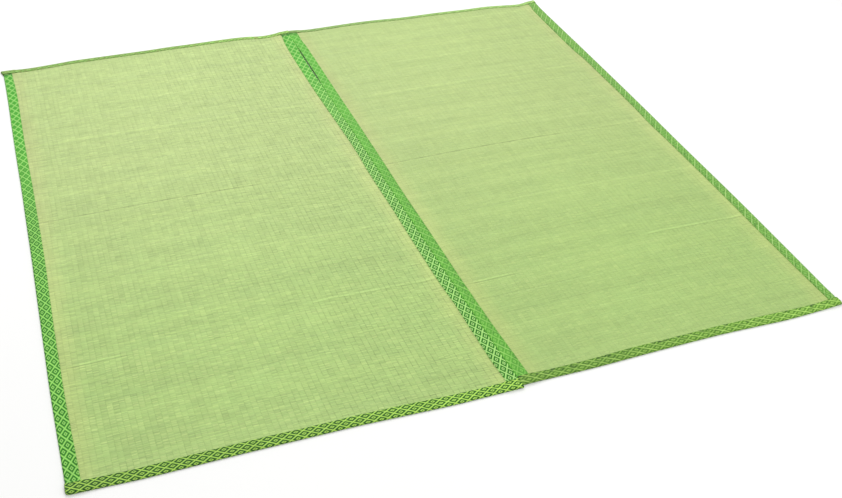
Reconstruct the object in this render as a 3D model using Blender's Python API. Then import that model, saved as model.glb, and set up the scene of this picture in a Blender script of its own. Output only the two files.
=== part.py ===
"""Rush mat: two woven rush panels lying flat side by side, each bound on its four edges
with a folded strip of patterned border cloth, and joined edge to edge along the middle.

Frame: X across the mat, Y along the rush panels, Z up, underside at Z = 0, origin under the
middle of the mat. Table values and sizes are millimetres and are scaled to metres at the end.
"""
import bmesh
import bpy

MM = 0.001

# ---------------------------------------------------------------- driving sizes
# The mat is nominally 1760 wide and 1760 long; the outline tables below hold it as it lies.
PLAN_SHIFT = (3.56, 4.67)  # moves the uneven outline's box to the middle of the frame

RUSH_THICK = 2.0         # woven rush sheet in the open field
RUSH_PRESSED = 1.5       # the same sheet where the binding's stitching presses it
CLOTH_THICK = 1.0        # border cloth with its turned-in hem
GAP = 0.3                # between any two pieces
BAND_UNDER = 24.0        # width of its return underneath
FOLD_CHAMFER = 1.3       # outside of the fold round the edge
FOLD_INNER = 0.7         # inside of the same fold
RUSH_INSET = 1.9         # rush edge, inside the fold of its binding
END_CLEAR = 0.35         # from the tucked-in end of an end binding to the side binding in it

STEP_UP = CLOTH_THICK + GAP                          # one layer of cloth and its gap
BIND_HEIGHT = RUSH_PRESSED + 2.0 * STEP_UP           # over all of a binding on bare rush

# Distances in from an outer edge where the section changes.
FLAT_IN = 29.0           # pressed flat as far as here, just past the band
SLOPE_IN = 42.0
FIELD_IN = 75.0          # open field, lying on the floor
LIFT_IN = 130.0          # a lifted far end comes down between here and LIFT_END
LIFT_END = 220.0

# ---------------------------------------------------------------- outline, as it lies
# x of the long edges at stations y: outer left edge, line between the panels, outer right edge
LONG_EDGES = {
    "y":     (890.0, 680.0, 515.0, 355.0, 195.0, 35.0, -125.0, -285.0, -440.0, -600.0, -760.0, -895.0),
    "left":  (-888.0, -886.8, -887.6, -887.8, -887.2, -888.0, -888.6, -890.2, -891.4, -892.6, -891.6, -890.2),
    "mid":   (0.4, 3.0, 5.5, 8.5, 11.8, 14.4, 16.8, 18.8, 21.2, 24.6, 28.8, 33.5),
    "right": (886.6, 886.2, 885.2, 883.6, 881.6, 878.7, 874.8, 872.5, 869.7, 865.0, 859.9, 854.8),
    "split": (0.4, 1.5, 1.3, 0.4, 0.4, 0.4, 0.4, 0.4, 0.4, 0.4, 0.4, 0.4),   # open gap between the panels
}
# y of the far ends and how far they lift off the floor
FAR_LEFT = {
    "x":    (-890.0, -808.0, -747.0, -687.0, -626.0, -445.0, -385.0, -324.0, -203.0, -142.0, -82.0, 0.0),
    "y":    (856.0, 858.5, 864.0, 871.0, 873.0, 876.0, 878.6, 878.5, 879.5, 879.6, 873.4, 874.0),
    "lift": (0.0, 0.0, 0.0, 0.0, 0.0, 0.6, 1.0, 1.4, 2.6, 1.6, 0.3, 5.6),
}
FAR_RIGHT = {
    "x":    (0.0, 60.0, 120.0, 221.0, 282.0, 343.0, 403.0, 525.0, 626.0, 707.0, 770.0, 820.0, 850.0, 887.0),
    "y":    (875.5, 877.5, 879.3, 881.0, 881.6, 880.3, 878.5, 880.0, 878.2, 877.5, 871.5, 865.0, 868.0, 873.5),
    "lift": (3.4, 0.6, 0.5, 2.0, 1.8, 0.8, 0.2, 0.2, 0.0, 0.6, 0.0, 0.0, 0.3, 1.6),
}
# y of the near ends
NEAR_LEFT = {
    "x": (-890.0, -834.0, -754.0, -560.0, -337.0, -277.0, -128.0, -60.0, 33.0),
    "y": (-880.5, -882.0, -885.0, -883.5, -884.3, -886.2, -891.2, -891.0, -890.5),
}
NEAR_RIGHT = {
    "x": (33.0, 81.0, 201.0, 320.0, 420.0, 510.0, 559.0, 640.0, 700.0, 799.0, 855.0),
    "y": (-883.2, -882.5, -883.0, -879.8, -877.4, -876.2, -876.6, -879.0, -880.4, -877.0, -873.5),
}
# visible width of each binding, from its fold to its inner edge, at places along it: y along the
# side bindings and x along the end ones
HEMS = {
    "left_outer": {
        "at":   (880.0, 820.0, 780.0, 700.0, 300.0, 0.0, -200.0, -300.0, -400.0, -600.0, -700.0, -780.0, -850.0),
        "wide": (25.0, 25.0, 26.5, 27.5, 27.5, 29.0, 28.5, 27.5, 26.5, 27.0, 27.5, 28.5, 28.5),
    },
    "left_inner": {
        "at":   (860.0, 830.0, 800.0, 700.0, 500.0, 400.0, 300.0, 100.0, 0.0, -200.0, -500.0, -600.0, -780.0, -850.0),
        "wide": (27.8, 28.5, 31.3, 32.3, 32.0, 30.7, 29.2, 26.8, 29.5, 28.8, 29.8, 27.5, 29.8, 28.5),
    },
    "right_inner": {
        "at":   (850.0, 800.0, 760.0, 700.0, 400.0, 200.0, 0.0, -100.0, -300.0, -500.0, -700.0, -780.0, -850.0),
        "wide": (26.0, 26.0, 28.3, 28.7, 27.7, 26.8, 25.3, 23.8, 24.8, 23.4, 24.2, 25.8, 26.0),
    },
    "right_outer": {
        "at":   (850.0, 820.0, 780.0, 700.0, 500.0, 420.0, 300.0, 100.0, 0.0, -100.0, -300.0, -500.0, -700.0, -850.0),
        "wide": (28.5, 30.8, 32.8, 34.1, 35.0, 29.8, 29.0, 28.0, 30.4, 27.8, 26.8, 27.2, 25.6, 22.6),
    },
    "left_far":   {"at": (-890.0, -700.0, 0.0), "wide": (21.0, 20.0, 19.0)},
    "right_far":  {"at": (0.0, 400.0, 887.0), "wide": (18.5, 17.5, 18.0)},
    "left_near": {
        "at":   (-890.0, -780.0, -700.0, -500.0, -400.0, -300.0, -200.0, -60.0, 33.0),
        "wide": (25.5, 27.0, 28.0, 27.3, 26.2, 27.5, 28.0, 26.0, 25.5),
    },
    "right_near": {
        "at":   (33.0, 100.0, 200.0, 300.0, 400.0, 500.0, 600.0, 700.0, 780.0, 855.0),
        "wide": (24.5, 24.5, 25.2, 27.2, 25.4, 25.2, 26.5, 27.0, 23.8, 22.0),
    },
}
# soft ridges across the rush, from folds pressed flat: place, height, half width, and how far the
# ridge bows towards the far end in the middle of the panel
RIDGES = {
    "y":      (560.0, 385.0, 95.0, -20.0, -250.0, -430.0, -600.0),
    "height": (1.1, 0.8, 0.9, 1.3, 0.8, 1.1, 0.9),
    "half":   (40.0, 32.0, 28.0, 24.0, 36.0, 34.0, 36.0),
    "bow":    (6.0, 8.0, 10.0, 14.0, 10.0, 8.0, 6.0),
}
FIELD_CELLS = 7          # columns of cells across the open field of a panel
# how far the tucked end of each end binding stands past the side edge: at its fold and at its tip
END_OVER = {
    "end":  ("left_far", "left_near", "right_far", "right_near"),
    "fold": (7.5, 2.6, 1.6, 1.6),
    "tip":  (1.6, 1.7, 1.6, 1.6),
}

COLOURS = {
    "rush":   (0.56, 0.71, 0.30, 1.0),
    "border": (0.14, 0.45, 0.05, 1.0),
}


# ---------------------------------------------------------------- curves through tables
def along(xs, ys, x):
    """Smooth curve through the rows of a table, whose xs may rise or fall."""
    if xs[0] > xs[-1]:
        xs, ys = xs[::-1], ys[::-1]
    if x <= xs[0]:
        return ys[0]
    if x >= xs[-1]:
        return ys[-1]
    k = max(i for i in range(len(xs) - 1) if xs[i] <= x)

    def slope(i):
        a, b = max(i - 1, 0), min(i + 1, len(xs) - 1)
        return (ys[b] - ys[a]) / (xs[b] - xs[a])

    h = xs[k + 1] - xs[k]
    t = (x - xs[k]) / h
    return (
        ys[k] * (1 + 2 * t) * (1 - t) ** 2
        + slope(k) * h * t * (1 - t) ** 2
        + ys[k + 1] * t * t * (3 - 2 * t)
        + slope(k + 1) * h * t * t * (t - 1)
    )


def ramp(d, knots, values):
    """Straight-line table, level past its ends."""
    if d <= knots[0]:
        return values[0]
    for k in range(len(knots) - 1):
        if d <= knots[k + 1]:
            t = (d - knots[k]) / (knots[k + 1] - knots[k])
            return values[k] + t * (values[k + 1] - values[k])
    return values[-1]


# ---------------------------------------------------------------- plan of one panel
PANELS = {
    "left": {"far": FAR_LEFT, "near": NEAR_LEFT},
    "right": {"far": FAR_RIGHT, "near": NEAR_RIGHT},
}


def side_x(panel, side, y):
    """x of a panel's own left or right edge at y."""
    ys = LONG_EDGES["y"]
    if (panel, side) == ("left", "left"):
        return along(ys, LONG_EDGES["left"], y)
    if (panel, side) == ("right", "right"):
        return along(ys, LONG_EDGES["right"], y)
    half = 0.5 * along(ys, LONG_EDGES["split"], y)
    return along(ys, LONG_EDGES["mid"], y) + (half if panel == "right" else -half)


def column_x(panel, column, y):
    """x of a column: ("left", d) or ("right", d) in from that edge, or ("field", share)."""
    kind, d = column
    if kind == "left":
        return side_x(panel, "left", y) + d
    if kind == "right":
        return side_x(panel, "right", y) - d
    a = side_x(panel, "left", y) + FIELD_IN
    b = side_x(panel, "right", y) - FIELD_IN
    return a + d * (b - a)


def row_y(panel, row, x):
    """y of a row: ("far", d) or ("near", d) in from that end, or ("ridge", y, bow)."""
    if row[0] == "far":
        t = PANELS[panel]["far"]
        return along(t["x"], t["y"], x) - row[1]
    if row[0] == "near":
        t = PANELS[panel]["near"]
        return along(t["x"], t["y"], x) + row[1]
    a, b = side_x(panel, "left", row[1]), side_x(panel, "right", row[1])
    share = min(max((x - a) / (b - a), 0.0), 1.0)
    return row[1] + row[2] * 4.0 * share * (1.0 - share)


def spot(panel, column, row):
    """(x, y) where a column and a row cross."""
    y = row[1] if row[0] == "ridge" else (800.0 if row[0] == "far" else -800.0)
    for _ in range(3):
        x = column_x(panel, column, y)
        y = row_y(panel, row, x)
    return x, y


def columns(first):
    """Columns of a panel from its left edge to its right, the outermost at distance first."""
    inner = (FLAT_IN, SLOPE_IN)
    left = [("left", first)] + [("left", d) for d in inner]
    right = [("right", d) for d in reversed(inner)] + [("right", first)]
    field = [("field", k / FIELD_CELLS) for k in range(FIELD_CELLS + 1)]
    return left + field + right


def rows(first):
    """Rows of a panel from its near end to its far end, the outermost at distance first."""
    near = [("near", first)] + [("near", d) for d in (FLAT_IN, SLOPE_IN, FIELD_IN)]
    far = [("far", d) for d in (LIFT_END, LIFT_IN, FIELD_IN, SLOPE_IN, FLAT_IN)] + [("far", first)]
    middle = []
    for y, half, bow in sorted(zip(RIDGES["y"], RIDGES["half"], RIDGES["bow"])):
        middle += [("ridge", y - half, bow), ("ridge", y, bow), ("ridge", y + half, bow)]
    return near + middle + far


# ---------------------------------------------------------------- heights
def raised(d):
    """How far a layer of cloth under the sheet raises it, at distance d in from the edge."""
    return ramp(d, (FLAT_IN, SLOPE_IN, FIELD_IN), (STEP_UP, 0.55 * STEP_UP, 0.0))


def lapped(d):
    """How far a layer of cloth over the sheet raises what lies on it."""
    return ramp(d, (FLAT_IN, SLOPE_IN), (STEP_UP, 0.0))


def from_side(panel, column):
    if column[0] == "field":
        return FIELD_IN
    return column[1]


def from_end(row):
    return 1000.0 if row[0] == "ridge" else row[1]


def lift(panel, column, row):
    """How far the far end has lifted, the same for every layer there."""
    if row[0] != "far":
        return 0.0
    t = PANELS[panel]["far"]
    knots = [("left", FLAT_IN), ("left", SLOPE_IN)]
    if column in knots or column[0] == "field":
        x = column_x(panel, column, 860.0)
        high = along(t["x"], t["lift"], x)
    else:
        # straight from the outer edge to the inner end of the pressed border
        side = column[0]
        a = along(t["x"], t["lift"], column_x(panel, (side, 0.0), 860.0))
        b = along(t["x"], t["lift"], column_x(panel, (side, FLAT_IN), 860.0))
        if column[1] > FLAT_IN:
            high = along(t["x"], t["lift"], column_x(panel, column, 860.0))
        else:
            high = a + (b - a) * column[1] / FLAT_IN
    fall = ramp(row[1], (FLAT_IN, SLOPE_IN, FIELD_IN, LIFT_IN, LIFT_END), (1.0, 0.85, 0.55, 0.22, 0.0))
    return max(high, 0.0) * fall


def ridge_height(column, row):
    if column[0] != "field" or row[0] != "ridge":
        return 0.0
    high = 0.0
    for y, height in zip(RIDGES["y"], RIDGES["height"]):
        if abs(row[1] - y) < 0.5:
            high = height
    share = column[1]
    return high * min(1.0, 0.25 + 3.0 * min(share, 1.0 - share))


def rush_bottom(panel, column, row):
    base = raised(from_side(panel, column)) + raised(from_end(row))
    return base + lift(panel, column, row) + ridge_height(column, row)


def rush_thickness(panel, column, row):
    d = min(from_side(panel, column), from_end(row))
    return ramp(d, (FLAT_IN, SLOPE_IN), (RUSH_PRESSED, RUSH_THICK))


# ---------------------------------------------------------------- meshes
def make_object(name, verts, faces, material):
    shift_x, shift_y = PLAN_SHIFT
    mesh = bpy.data.meshes.new(name)
    mesh.from_pydata(
        [((x + shift_x) * MM, (y + shift_y) * MM, z * MM) for x, y, z in verts], [], faces
    )
    mesh.materials.append(material)
    bm = bmesh.new()
    bm.from_mesh(mesh)
    bmesh.ops.recalc_face_normals(bm, faces=bm.faces)
    bm.to_mesh(mesh)
    bm.free()
    obj = bpy.data.objects.new(name, mesh)
    bpy.context.scene.collection.objects.link(obj)
    return obj


def make_panel(panel, material):
    """The woven rush sheet: top and bottom grids and the wall round them."""
    cols, lines = columns(RUSH_INSET), rows(RUSH_INSET)
    nx, ny = len(cols), len(lines)
    verts, faces = [], []
    for top in (0, 1):
        for row in lines:
            for column in cols:
                x, y = spot(panel, column, row)
                z = rush_bottom(panel, column, row)
                if top:
                    z += rush_thickness(panel, column, row)
                verts.append((x, y, z))

    def at(i, j, top):
        return top * nx * ny + j * nx + i

    for j in range(ny - 1):
        for i in range(nx - 1):
            for top in (0, 1):
                a, b = at(i, j, top), at(i + 1, j, top)
                c, d = at(i + 1, j + 1, top), at(i, j + 1, top)
                if top:
                    faces += [(a, b, c), (a, c, d)]
                else:
                    faces += [(a, c, b), (a, d, c)]
    rim = (
        [(i, 0) for i in range(nx)]
        + [(nx - 1, j) for j in range(1, ny)]
        + [(i, ny - 1) for i in range(nx - 2, -1, -1)]
        + [(0, j) for j in range(ny - 2, 0, -1)]
    )
    for k in range(len(rim)):
        (i0, j0), (i1, j1) = rim[k], rim[(k + 1) % len(rim)]
        a, b = at(i0, j0, 0), at(i1, j1, 0)
        c, d = at(i1, j1, 1), at(i0, j0, 1)
        faces += [(a, b, c), (a, c, d)]
    return make_object("panel_" + panel, verts, faces, material)


def hem(binding, place, lapped_over=False):
    """Visible width of a binding at a place along it. Under an end binding it stays narrow enough
    to lie within that binding's raised part."""
    wide = along(HEMS[binding]["at"], HEMS[binding]["wide"], place)
    return min(wide, FLAT_IN - 0.5) if lapped_over else wide


def c_section(height, top):
    """(in from the edge, up) round a folded strip: outside from the top tip, then inside back."""
    f, g, c, h = FOLD_CHAMFER, FOLD_INNER, CLOTH_THICK, height
    outside = [(top, h), (f, h), (0.0, h - f), (0.0, f), (f, 0.0), (BAND_UNDER, 0.0)]
    inside = [
        (BAND_UNDER, c), (c + g, c), (c, c + g), (c, h - c - g), (c + g, h - c), (top, h - c),
    ]
    return outside, inside


def split(polygon):
    """Triangles of a polygon, as a fan from its first point."""
    return [(polygon[0], polygon[k], polygon[k + 1]) for k in range(1, len(polygon) - 1)]


def skin(verts, loops):
    """The long faces of a strip, between loops of 12 points. Each four-sided face is cut along the
    same diagonal as the rush sheet's, so that the layers keep their gap where they twist."""
    n, faces = 12, []
    for s in range(loops - 1):
        for k in range(n):
            a, b = s * n + k, s * n + (k + 1) % n
            quad = (a, b, b + n, a + n)
            dx, dy = (verts[quad[2]][i] - verts[quad[0]][i] for i in (0, 1))
            faces += split(quad if dx * dy > 0.0 else quad[1:] + quad[:1])
    return faces


def c_cap(start):
    """The C-shaped end face of a strip, between its outside and its inside."""
    faces = []
    for k in range(5):
        faces += split((start + k, start + k + 1, start + 10 - k, start + 11 - k))
    return faces


def make_side_binding(name, panel, side, material):
    """The strip folded round one long edge; its ends lie inside the end bindings."""
    lines = rows(RUSH_INSET)
    verts = []
    for row in lines:
        place = spot(panel, (side, 0.0), row)[1]
        under = from_end(row) <= SLOPE_IN
        own = panel + ("_outer" if side == panel else "_inner")
        outside, inside = c_section(BIND_HEIGHT, hem(own, place, under))
        for u, z in outside + inside:
            x, y = spot(panel, (side, u), row)
            verts.append((x, y, z + raised(from_end(row)) + lift(panel, (side, u), row)))
    faces = skin(verts, len(lines)) + c_cap(0) + c_cap((len(lines) - 1) * 12)
    return make_object(name, verts, faces, material)


def make_end_binding(name, panel, end, material):
    """The strip folded over one end of a panel, lying over the ends of its side bindings. It is
    open at the line between the panels, and its outer end is tucked in."""
    outer = "left" if panel == "left" else "right"
    k = END_OVER["end"].index(panel + "_" + end)
    over_fold, over_tip = END_OVER["fold"][k], END_OVER["tip"][k]
    cols = columns(0.0)
    if outer == "right":
        cols = cols[::-1]
    # stations from the outer end to the middle of the mat
    stations = [(outer, -END_CLEAR)] + cols
    verts, section_at = [], []
    for column in stations:
        d = max(from_side(panel, column), 0.0)
        height = BIND_HEIGHT + raised(d) + lapped(d)
        place = spot(panel, column, (end, 0.0))[0]
        outside, inside = c_section(height, hem(panel + "_" + end, place))
        section_at.append(len(verts))
        for u, z in outside + inside:
            x, y = spot(panel, column, (end, u))
            near_edge = column if d > 0.0 or column[0] == "field" else (column[0], 0.0)
            verts.append((x, y, z + lift(panel, near_edge, (end, u))))
    faces = skin(verts, len(stations)) + c_cap(section_at[-1])
    # the tucked end: the outline alone, a wall's thickness and more past the side edge
    outline = len(verts)
    top = hem(panel + "_" + end, side_x(panel, outer, 860.0 if end == "far" else -880.0))
    outside, _ = c_section(BIND_HEIGHT + raised(0.0) + lapped(0.0), top)
    for u, z in outside:
        share = min(u / top, 1.0)
        past = over_fold + (over_tip - over_fold) * share
        x, y = spot(panel, (outer, -past), (end, u))
        verts.append((x, y, z + lift(panel, (outer, 0.0), (end, u))))
    for s in range(5):
        faces += split((outline + s, outline + s + 1, s + 1, s))
    # the closed side facing the rush, between the two tips
    faces += split((outline + 5, outline, 0, 11, 6, 5))
    # the wall's inner face, and its outer face
    faces += split((6, 11, 10, 9, 8, 7))
    faces += split(tuple(outline + s for s in range(6)))
    return make_object(name, verts, faces, material)


def make_material(name, colour):
    material = bpy.data.materials.new(name)
    material.use_nodes = True
    shader = material.node_tree.nodes["Principled BSDF"]
    shader.inputs["Base Color"].default_value = colour
    shader.inputs["Roughness"].default_value = 0.75
    shader.inputs["Metallic"].default_value = 0.0
    return material


def main():
    for obj in list(bpy.data.objects):
        bpy.data.objects.remove(obj, do_unlink=True)
    made = []
    for panel in ("left", "right"):
        made.append(make_panel(panel, make_material("rush_" + panel, COLOURS["rush"])))
        for side in ("left", "right"):
            place = "outer" if side == panel else "inner"
            name = "binding_" + panel + "_" + place
            made.append(make_side_binding(name, panel, side, make_material(name, COLOURS["border"])))
        for end in ("far", "near"):
            name = "binding_" + panel + "_" + end + "_end"
            made.append(make_end_binding(name, panel, end, make_material(name, COLOURS["border"])))
    return made


main()
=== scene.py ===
import math

import bpy
import numpy as np
from mathutils import Matrix, Vector


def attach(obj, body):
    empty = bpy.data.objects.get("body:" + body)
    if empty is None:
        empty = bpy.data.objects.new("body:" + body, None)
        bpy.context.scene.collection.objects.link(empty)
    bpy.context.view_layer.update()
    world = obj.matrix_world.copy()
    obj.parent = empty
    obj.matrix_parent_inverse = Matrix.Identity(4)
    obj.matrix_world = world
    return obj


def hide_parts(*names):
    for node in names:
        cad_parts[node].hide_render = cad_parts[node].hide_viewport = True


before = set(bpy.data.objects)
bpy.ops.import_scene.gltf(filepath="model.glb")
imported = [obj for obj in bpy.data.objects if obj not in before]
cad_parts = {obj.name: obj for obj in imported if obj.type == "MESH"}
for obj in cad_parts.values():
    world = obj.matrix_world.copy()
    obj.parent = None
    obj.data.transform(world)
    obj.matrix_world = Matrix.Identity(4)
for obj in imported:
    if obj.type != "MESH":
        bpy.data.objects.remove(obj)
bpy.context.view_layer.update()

# Rush mat: two woven rush panels, each bound on four edges with a folded strip of patterned
# border cloth. Millimetres here, scaled to metres where the meshes are made.
MM = 0.001

# ------------------------------------------------------------------ plan of the mat as it lies
PLAN_SHIFT = (3.56, 4.67)
RUSH_THICK, RUSH_PRESSED = 2.0, 1.5
CLOTH = 1.0
GAP = 0.3
RUSH_INSET = 1.9
END_CLEAR = 0.35
STEP_UP = CLOTH + GAP
BIND_HEIGHT = RUSH_PRESSED + 2.0 * STEP_UP
FLAT_IN, SLOPE_IN, FIELD_IN, LIFT_IN, LIFT_END = 29.0, 42.0, 75.0, 130.0, 220.0
PANEL_WIDTH = 880.0          # a panel's nominal width, which its columns share
UNFOLDED = 56.0              # width of a binding strip, opened out

LONG_EDGES = {
    "y":     (890.0, 680.0, 515.0, 355.0, 195.0, 35.0, -125.0, -285.0, -440.0, -600.0, -760.0, -895.0),
    "left":  (-888.0, -886.8, -887.6, -887.8, -887.2, -888.0, -888.6, -890.2, -891.4, -892.6, -891.6, -890.2),
    "mid":   (0.4, 3.0, 5.5, 8.5, 11.8, 14.4, 16.8, 18.8, 21.2, 24.6, 28.8, 33.5),
    "right": (886.6, 886.2, 885.2, 883.6, 881.6, 878.7, 874.8, 872.5, 869.7, 865.0, 859.9, 854.8),
    "split": (0.4, 1.5, 1.3, 0.4, 0.4, 0.4, 0.4, 0.4, 0.4, 0.4, 0.4, 0.4),   # open gap between the panels
}
FAR = {
    "left": {
        "x":    (-890.0, -808.0, -747.0, -687.0, -626.0, -445.0, -385.0, -324.0, -203.0, -142.0, -82.0, 0.0),
        "y":    (856.0, 858.5, 864.0, 871.0, 873.0, 876.0, 878.6, 878.5, 879.5, 879.6, 873.4, 874.0),
        "lift": (0.0, 0.0, 0.0, 0.0, 0.0, 0.6, 1.0, 1.4, 2.6, 1.6, 0.3, 5.6),
    },
    "right": {
        "x":    (0.0, 60.0, 120.0, 221.0, 282.0, 343.0, 403.0, 525.0, 626.0, 707.0, 770.0, 820.0, 850.0, 887.0),
        "y":    (875.5, 877.5, 879.3, 881.0, 881.6, 880.3, 878.5, 880.0, 878.2, 877.5, 871.5, 865.0, 868.0, 873.5),
        "lift": (3.4, 0.6, 0.5, 2.0, 1.8, 0.8, 0.2, 0.2, 0.0, 0.6, 0.0, 0.0, 0.3, 1.6),
    },
}
NEAR = {
    "left": {
        "x": (-890.0, -834.0, -754.0, -560.0, -337.0, -277.0, -128.0, -60.0, 33.0),
        "y": (-880.5, -882.0, -885.0, -883.5, -884.3, -886.2, -891.2, -891.0, -890.5),
    },
    "right": {
        "x": (33.0, 81.0, 201.0, 320.0, 420.0, 510.0, 559.0, 640.0, 700.0, 799.0, 855.0),
        "y": (-883.2, -882.5, -883.0, -879.8, -877.4, -876.2, -876.6, -879.0, -880.4, -877.0, -873.5),
    },
}
# visible width of each binding, from its fold to its inner edge, at places along it: y along the
# side bindings and x along the end ones
HEMS = {
    "left_outer": {
        "at":   (880.0, 820.0, 780.0, 700.0, 300.0, 0.0, -200.0, -300.0, -400.0, -600.0, -700.0, -780.0, -850.0),
        "wide": (25.0, 25.0, 26.5, 27.5, 27.5, 29.0, 28.5, 27.5, 26.5, 27.0, 27.5, 28.5, 28.5),
    },
    "left_inner": {
        "at":   (860.0, 830.0, 800.0, 700.0, 500.0, 400.0, 300.0, 100.0, 0.0, -200.0, -500.0, -600.0, -780.0, -850.0),
        "wide": (27.8, 28.5, 31.3, 32.3, 32.0, 30.7, 29.2, 26.8, 29.5, 28.8, 29.8, 27.5, 29.8, 28.5),
    },
    "right_inner": {
        "at":   (850.0, 800.0, 760.0, 700.0, 400.0, 200.0, 0.0, -100.0, -300.0, -500.0, -700.0, -780.0, -850.0),
        "wide": (26.0, 26.0, 28.3, 28.7, 27.7, 26.8, 25.3, 23.8, 24.8, 23.4, 24.2, 25.8, 26.0),
    },
    "right_outer": {
        "at":   (850.0, 820.0, 780.0, 700.0, 500.0, 420.0, 300.0, 100.0, 0.0, -100.0, -300.0, -500.0, -700.0, -850.0),
        "wide": (28.5, 30.8, 32.8, 34.1, 35.0, 29.8, 29.0, 28.0, 30.4, 27.8, 26.8, 27.2, 25.6, 22.6),
    },
    "left_far":   {"at": (-890.0, -700.0, 0.0), "wide": (21.0, 20.0, 19.0)},
    "right_far":  {"at": (0.0, 400.0, 887.0), "wide": (18.5, 17.5, 18.0)},
    "left_near": {
        "at":   (-890.0, -780.0, -700.0, -500.0, -400.0, -300.0, -200.0, -60.0, 33.0),
        "wide": (25.5, 27.0, 28.0, 27.3, 26.2, 27.5, 28.0, 26.0, 25.5),
    },
    "right_near": {
        "at":   (33.0, 100.0, 200.0, 300.0, 400.0, 500.0, 600.0, 700.0, 780.0, 855.0),
        "wide": (24.5, 24.5, 25.2, 27.2, 25.4, 25.2, 26.5, 27.0, 23.8, 22.0),
    },
}
# soft ridges left across the rush by folding
RIDGES = {
    "y":      (560.0, 385.0, 95.0, -20.0, -250.0, -430.0, -600.0),
    "height": (1.1, 0.8, 0.9, 1.3, 0.8, 1.1, 0.9),
    "half":   (40.0, 32.0, 28.0, 24.0, 36.0, 34.0, 36.0),
    "bow":    (6.0, 8.0, 10.0, 14.0, 10.0, 8.0, 6.0),
}
# small ripples between them: place along, height, half width, first and last share across
RIPPLES = (
    (700.0, 0.35, 16.0, 0.45, 1.0), (640.0, -0.3, 14.0, 0.0, 0.7), (470.0, 0.35, 14.0, 0.2, 0.9),
    (300.0, -0.35, 18.0, 0.0, 1.0), (215.0, 0.4, 15.0, 0.3, 1.0), (20.0, -0.4, 16.0, 0.0, 1.0),
    (-75.0, 0.35, 14.0, 0.0, 0.6), (-115.0, -0.35, 14.0, 0.2, 1.0), (-180.0, 0.3, 13.0, 0.0, 0.8),
    (-330.0, -0.4, 17.0, 0.1, 1.0), (-489.0, 0.45, 13.0, 0.35, 1.0), (-540.0, -0.3, 15.0, 0.0, 0.8),
    (-660.0, 0.4, 14.0, 0.0, 0.75), (-709.0, -0.35, 15.0, 0.1, 1.0), (-765.0, 0.3, 12.0, 0.0, 1.0),
)
# how far the corner of each end binding is rounded, in plan
CORNER_ROUND = {("left", "far"): 1.5, ("left", "near"): 8.0, ("right", "far"): 1.5, ("right", "near"): 1.0}
END_OVER = {("left", "far"): (7.5, 1.6), ("left", "near"): (2.6, 1.7),
            ("right", "far"): (1.6, 1.6), ("right", "near"): (0.8, 0.8)}


def along(xs, ys, x):
    """Smooth curve through the rows of a table, whose xs may rise or fall."""
    xs, ys = np.array(xs, float), np.array(ys, float)
    if xs[0] > xs[-1]:
        xs, ys = xs[::-1], ys[::-1]
    x = np.clip(x, xs[0], xs[-1])
    k = np.clip(np.searchsorted(xs, x, side="right") - 1, 0, len(xs) - 2)
    lo, hi = np.maximum(np.arange(len(xs)) - 1, 0), np.minimum(np.arange(len(xs)) + 1, len(xs) - 1)
    slope = (ys[hi] - ys[lo]) / (xs[hi] - xs[lo])
    h = xs[k + 1] - xs[k]
    t = (x - xs[k]) / h
    return (
        ys[k] * (1 + 2 * t) * (1 - t) ** 2
        + slope[k] * h * t * (1 - t) ** 2
        + ys[k + 1] * t * t * (3 - 2 * t)
        + slope[k + 1] * h * t * t * (t - 1)
    )


def smooth(a, b, x):
    t = np.clip((x - a) / (b - a), 0.0, 1.0)
    return t * t * (3 - 2 * t)


def side_x(panel, side, y):
    ys = LONG_EDGES["y"]
    if (panel, side) == ("left", "left"):
        return along(ys, LONG_EDGES["left"], y)
    if (panel, side) == ("right", "right"):
        return along(ys, LONG_EDGES["right"], y)
    half = 0.5 * along(ys, LONG_EDGES["split"], y)
    return along(ys, LONG_EDGES["mid"], y) + (half if panel == "right" else -half)


def end_y(panel, end, x):
    t = FAR[panel] if end == "far" else NEAR[panel]
    return along(t["x"], t["y"], x)


def across_bow(share):
    share = np.clip(share, 0.0, 1.0)
    return 4.0 * share * (1.0 - share)


def wander(x, seed, scale=1.0):
    """Smooth uneven curve, from -1 to 1, the same each time."""
    x = np.asarray(x, float) / scale
    return (
        0.42 * np.sin(x * 1.00 + seed * 1.7)
        + 0.27 * np.sin(x * 2.17 + seed * 3.1 + 0.6)
        + 0.19 * np.sin(x * 4.61 + seed * 0.9 + 2.1)
        + 0.12 * np.sin(x * 9.23 + seed * 2.3 + 4.0)
    )


def raised(d):
    return STEP_UP * (1.0 - smooth(FLAT_IN, FIELD_IN, d))


def lapped(d):
    return STEP_UP * (1.0 - smooth(FLAT_IN - 1.0, SLOPE_IN, d))


def lift(panel, x, from_far):
    """How far the far end has lifted off the floor."""
    t = FAR[panel]
    left, right = side_x(panel, "left", 860.0), side_x(panel, "right", 860.0)
    high = along(t["x"], t["lift"], x)
    for edge, sign in ((left, 1.0), (right, -1.0)):
        a = float(along(t["x"], t["lift"], edge))
        b = float(along(t["x"], t["lift"], edge + sign * FLAT_IN))
        d = np.maximum((x - edge) * sign, 0.0)
        high = np.where(d < FLAT_IN, a + (b - a) * d / FLAT_IN, high)
    fall = np.interp(from_far, (FLAT_IN, SLOPE_IN, FIELD_IN, LIFT_IN, LIFT_END), (1.0, 0.85, 0.55, 0.22, 0.0))
    return np.maximum(high, 0.0) * fall


# ------------------------------------------------------------------ materials
def lin(*rgb, gain=1.0):
    """Linear colour of an 8-bit screen colour."""
    out = [((c / 255.0 + 0.055) / 1.055) ** 2.4 if c > 10 else c / 3294.6 for c in rgb]
    return tuple(gain * c for c in out) + (1.0,)


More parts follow.
